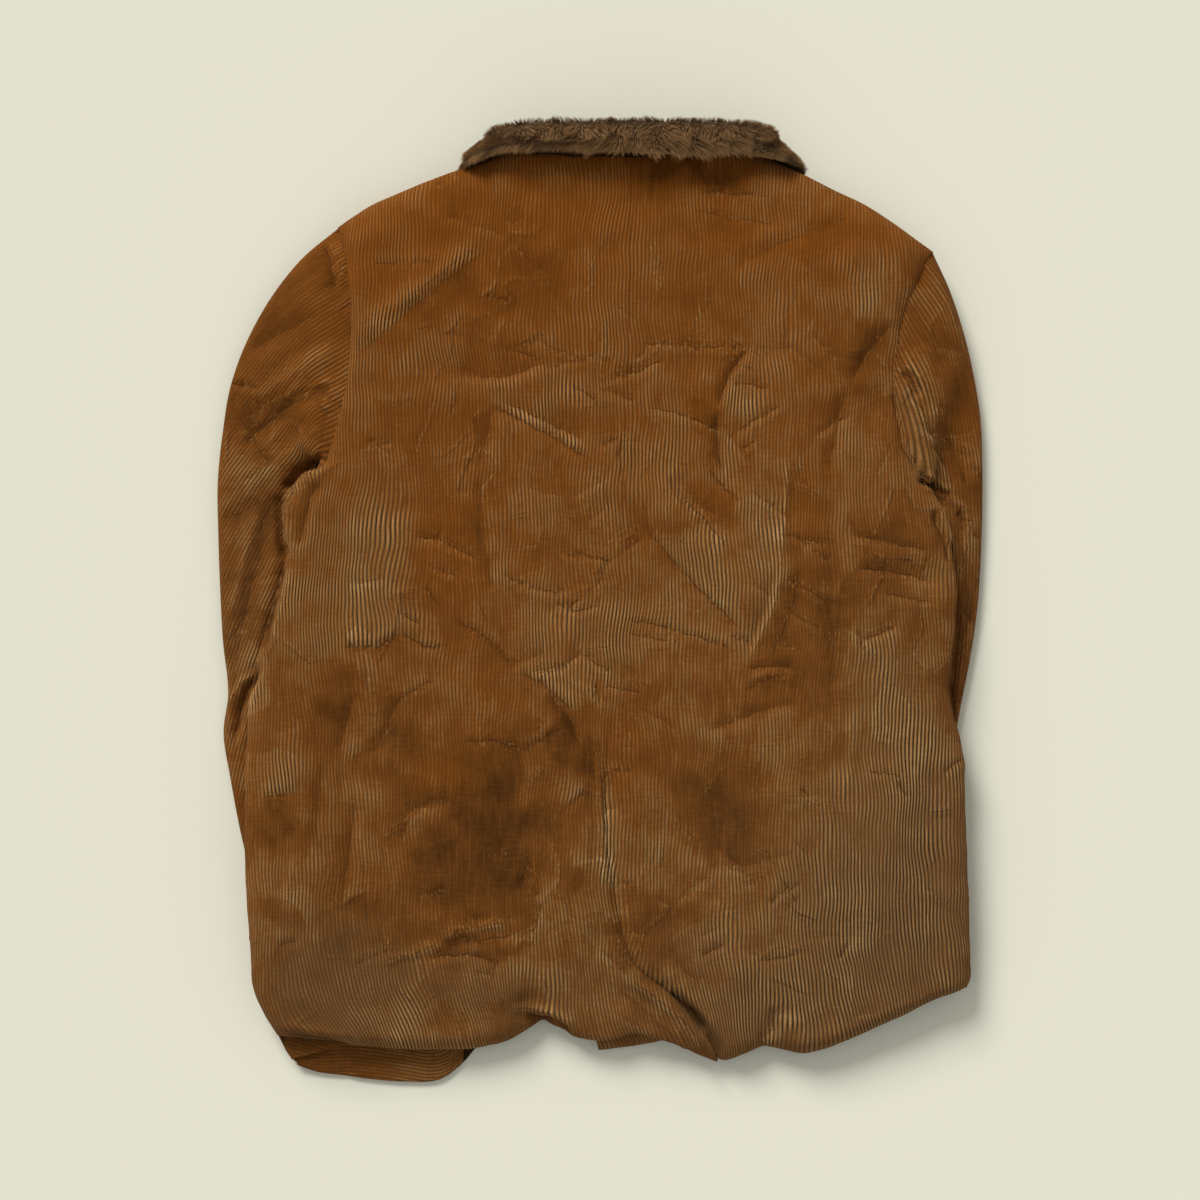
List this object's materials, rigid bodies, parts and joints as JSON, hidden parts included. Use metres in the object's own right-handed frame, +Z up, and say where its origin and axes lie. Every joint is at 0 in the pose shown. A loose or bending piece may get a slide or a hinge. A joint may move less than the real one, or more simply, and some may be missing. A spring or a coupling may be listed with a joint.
{
  "type": "corduroy jacket",
  "caption": "Wide-wale corduroy jacket with a thick pile collar and a centre back vent, laid face down with its sleeves folded under the body.",
  "frame": {"origin": "bottom centre of the jacket's box, on the surface that it lies on", "axes": "+X across the body to the wearer's right when seen from above, +Y from the hem to the collar, +Z up from the surface"},
  "size_m": [0.6636, 0.832, 0.0665],
  "materials": {
    "back_left": "wide-wale corduroy, rust brown",
    "back_right": "wide-wale corduroy, rust brown",
    "front_left": "wide-wale corduroy, rust brown",
    "front_right": "wide-wale corduroy, rust brown",
    "sleeve_left": "wide-wale corduroy, rust brown",
    "sleeve_right": "wide-wale corduroy, rust brown",
    "collar_under": "corduroy, dark brown",
    "collar_pile": "thick brown pile",
    "hem_facing_left": "wide-wale corduroy, rust brown",
    "hem_corner_left": "wide-wale corduroy, rust brown"
  },
  "bodies": {
    "root": {"back_left": "back_left", "back_right": "back_right", "front_left": "front_left", "front_right": "front_right", "sleeve_left": "sleeve_left", "sleeve_right": "sleeve_right", "collar_under": "collar_under", "collar_pile": "collar_pile", "hem_facing_left": "hem_facing_left", "hem_corner_left": "hem_corner_left"}
  },
  "joints": []
}
